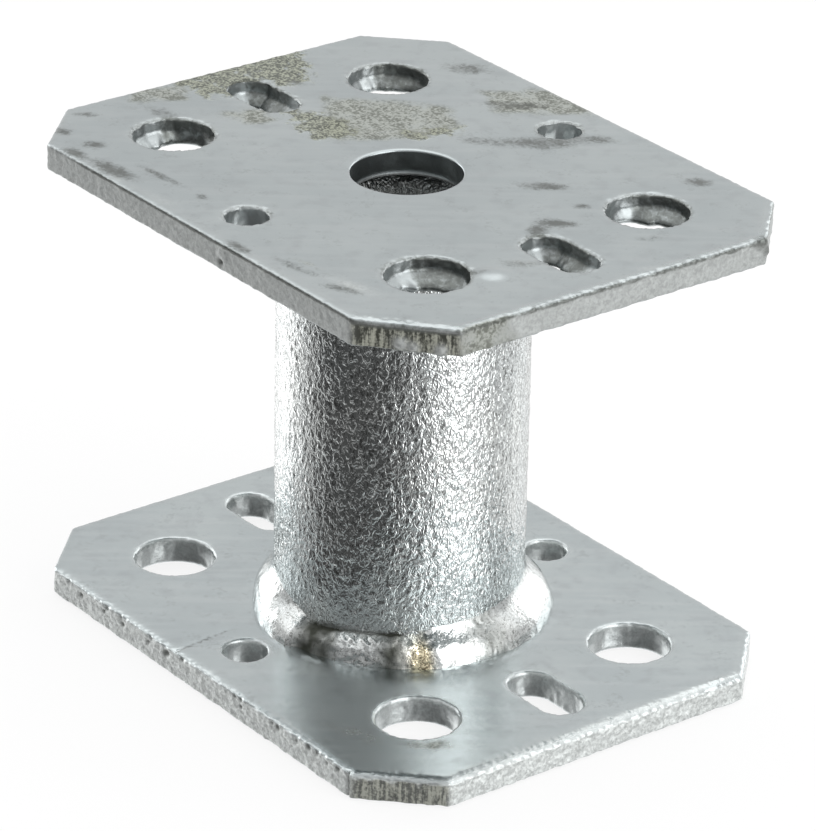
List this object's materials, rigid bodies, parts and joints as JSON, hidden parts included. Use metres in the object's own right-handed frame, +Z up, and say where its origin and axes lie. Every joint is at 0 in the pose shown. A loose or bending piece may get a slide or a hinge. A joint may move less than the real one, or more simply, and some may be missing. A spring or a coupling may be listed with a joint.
{
  "type": "column base plate",
  "caption": "Galvanised column base plate: a short round tube welded between oblong plates with clipped corners, bolt holes, slots and a centre hole.",
  "frame": {"origin": "middle of the underside of the base plate", "axes": "+Z up along the tube, +X along the long side of the plates, +Y along their short side"},
  "size_m": [0.13, 0.1, 0.1],
  "materials": {
    "zinc_plate": "hot-dip galvanised, smooth satin, rough sheared edges",
    "zinc_tube": "hot-dip galvanised, bright with a fine leathery grain",
    "zinc_weld": "weld bead under bright uneven zinc"
  },
  "bodies": {
    "root": {"base_plate": "zinc_plate", "top_plate": "zinc_plate", "tube": "zinc_tube", "lower_weld": "zinc_weld", "upper_weld": "zinc_weld"}
  },
  "joints": []
}
